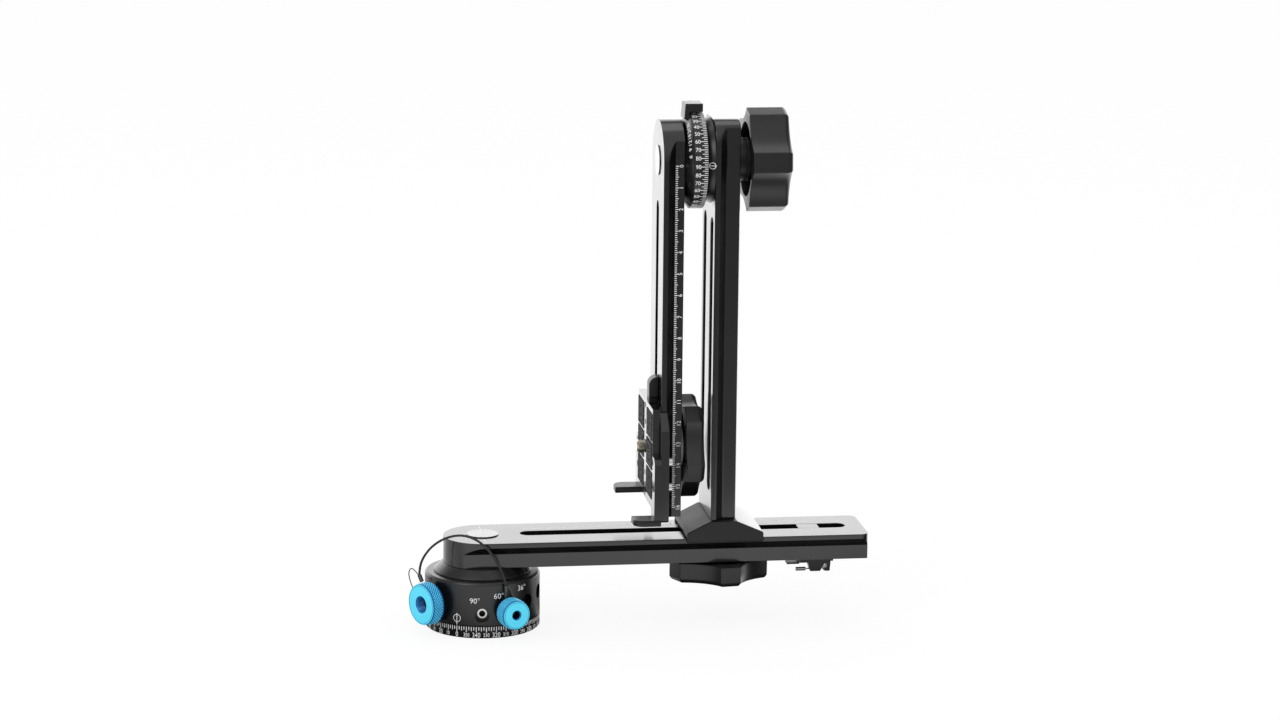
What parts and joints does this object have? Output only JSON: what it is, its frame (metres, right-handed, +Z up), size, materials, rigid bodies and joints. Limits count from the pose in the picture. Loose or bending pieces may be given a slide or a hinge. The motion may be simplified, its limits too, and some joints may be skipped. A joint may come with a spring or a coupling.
{
  "type": "panoramic tripod head",
  "caption": "Panoramic head: click-stop rotator, slotted lower arm, upright and tilting upper arm with a sliding camera plate, clamped by lobed knobs.",
  "frame": {"origin": "on the pan axis at the bottom face of the base, where the tripod screw enters", "axes": "+Z up the pan axis, +X along the lower arm, +Y away from the side with the index mark and ports"},
  "size_m": [0.2151, 0.0681, 0.2446],
  "materials": {
    "black_anodised": "satin black anodised",
    "blue_anodised": "cyan blue anodised",
    "steel": "turned steel",
    "black_steel": "black oxide",
    "brass": "turned brass",
    "nylon": "natural nylon",
    "grip": "gritty rubber",
    "cord": "braided black",
    "wire": "coated wire"
  },
  "bodies": {
    "base": {"base_plate": "black_anodised", "tripod_insert": "steel", "detent_drum": "steel", "drum_screws": "black_steel", "spindle": "steel", "spindle_nut": "steel", "disc_spring": "steel", "thrust_washer": "nylon"},
    "rotator": {"rotator_body": "black_anodised", "turntable_disc": "black_anodised", "turntable_screws": "black_steel", "arm_screws": "black_steel", "port_set_screw": "steel", "plunger_barrel": "black_steel", "plunger_spring": "steel", "tether_cord": "cord", "tether_ferrules": "black_steel", "tether_loops": "wire", "lower_arm": "black_anodised", "lower_arm_cap": "black_anodised"},
    "plunger": {"plunger_pin": "steel", "plunger_knob": "blue_anodised"},
    "lock_slider": {"lock_pad": "brass"},
    "lock_turner": {"lock_screw": "steel", "lock_knob": "blue_anodised"},
    "foot": {"foot_block": "black_anodised", "foot_screws": "black_steel", "lower_clamp_stud": "steel", "upright": "black_anodised", "index_hub": "black_anodised", "detent_ball": "steel", "detent_spring": "steel"},
    "foot_washer": {"lower_clamp_washer": "nylon"},
    "foot_clamp": {"lower_clamp_knob": "black_anodised", "lower_clamp_knob_insert": "brass"},
    "tilt_arm": {"tilt_shaft": "steel", "upper_arm_cap": "black_anodised", "upper_arm": "black_anodised", "graduated_dial": "black_anodised", "dial_screws": "black_steel"},
    "selector": {"selector_ring": "black_anodised"},
    "carriage": {"camera_plate": "black_anodised", "plate_pads": "grip", "guide_bars": "black_anodised", "guide_bar_screws": "steel", "camera_lugs": "black_anodised", "lug_screws": "black_steel", "top_lug": "black_anodised", "plate_clamp_stud": "steel"},
    "camera_bolt": {"camera_screw": "brass"},
    "plate_washer": {"plate_clamp_washer": "nylon"},
    "plate_clamp": {"plate_clamp_knob": "black_anodised", "plate_clamp_knob_insert": "brass"},
    "tilt_washer": {"top_knob_washer": "black_steel"},
    "tilt_clamp": {"top_knob": "black_anodised", "top_knob_insert": "brass"},
    "stop": {"stop_block": "black_anodised", "stop_clip": "black_anodised"},
    "stop_turner": {"stop_screw": "steel"}
  },
  "joints": [
    {"name": "pan", "type": "hinge", "parent": "base", "child": "rotator", "pos_m": [0, 0, 0], "axis": [0, 0, 1], "continuous": true},
    {"name": "plunger_pull", "type": "slide", "parent": "rotator", "child": "plunger", "axis": [0.3338, -0.9426, 0], "range_m": [0, 0.0024], "stiffness_N_per_m": 400, "springref_m": -0.004},
    {"name": "lock_travel", "type": "slide", "parent": "rotator", "child": "lock_slider", "axis": [-0.8462, -0.5329, 0], "range_m": [0, 0.0015]},
    {"name": "lock_turn", "type": "hinge", "parent": "lock_slider", "child": "lock_turner", "pos_m": [0, 0, 0.01505], "axis": [-0.8462, -0.5329, 0], "range_deg": [0, 545]},
    {"name": "foot_slide", "type": "slide", "parent": "rotator", "child": "foot", "axis": [1, 0, 0], "range_m": [-0.058, 0.0085]},
    {"name": "foot_clamp_travel", "type": "slide", "parent": "foot", "child": "foot_washer", "axis": [0, 0, -1], "range_m": [0, 0.00125]},
    {"name": "foot_clamp_turn", "type": "hinge", "parent": "foot_washer", "child": "foot_clamp", "pos_m": [0.11065, 0, 0.025], "axis": [0, 0, -1], "range_deg": [0, 365]},
    {"name": "tilt", "type": "hinge", "parent": "foot", "child": "tilt_arm", "pos_m": [0, 0, 0.218], "axis": [1, 0, 0], "continuous": true},
    {"name": "selector_turn", "type": "hinge", "parent": "tilt_arm", "child": "selector", "pos_m": [0.093, 0, 0.218], "axis": [1, 0, 0], "range_deg": [-60, 60]},
    {"name": "tilt_clamp_travel", "type": "slide", "parent": "foot", "child": "tilt_washer", "axis": [1, 0, 0], "range_m": [0, 0.00125]},
    {"name": "tilt_clamp_turn", "type": "hinge", "parent": "tilt_washer", "child": "tilt_clamp", "pos_m": [0.13, 0, 0.218], "axis": [1, 0, 0], "range_deg": [0, 365]},
    {"name": "carriage_slide", "type": "slide", "parent": "tilt_arm", "child": "carriage", "axis": [0, 0, 1], "range_m": [-0.008, 0.0875]},
    {"name": "camera_bolt_turn", "type": "hinge", "parent": "carriage", "child": "camera_bolt", "pos_m": [0.077, 0, 0.0834], "axis": [1, 0, 0], "continuous": true},
    {"name": "plate_clamp_travel", "type": "slide", "parent": "carriage", "child": "plate_washer", "axis": [1, 0, 0], "range_m": [0, 0.00125]},
    {"name": "plate_clamp_turn", "type": "hinge", "parent": "plate_washer", "child": "plate_clamp", "pos_m": [0.096, 0, 0.0834], "axis": [1, 0, 0], "range_deg": [0, 365]},
    {"name": "stop_slide", "type": "slide", "parent": "rotator", "child": "stop", "axis": [1, 0, 0], "range_m": [-0.0085, 0.009]},
    {"name": "stop_turn", "type": "hinge", "parent": "stop", "child": "stop_turner", "pos_m": [0.15, 0, 0.02215], "axis": [1, 0, 0], "continuous": true}
  ],
  "couplings": [
    {"joint": "lock_turn", "follows": "lock_travel", "rad_per_m": 6283.2},
    {"joint": "foot_clamp_turn", "follows": "foot_clamp_travel", "rad_per_m": 5026.5},
    {"joint": "tilt_clamp_turn", "follows": "tilt_clamp_travel", "rad_per_m": 5026.5},
    {"joint": "plate_clamp_turn", "follows": "plate_clamp_travel", "rad_per_m": 5026.5}
  ]
}
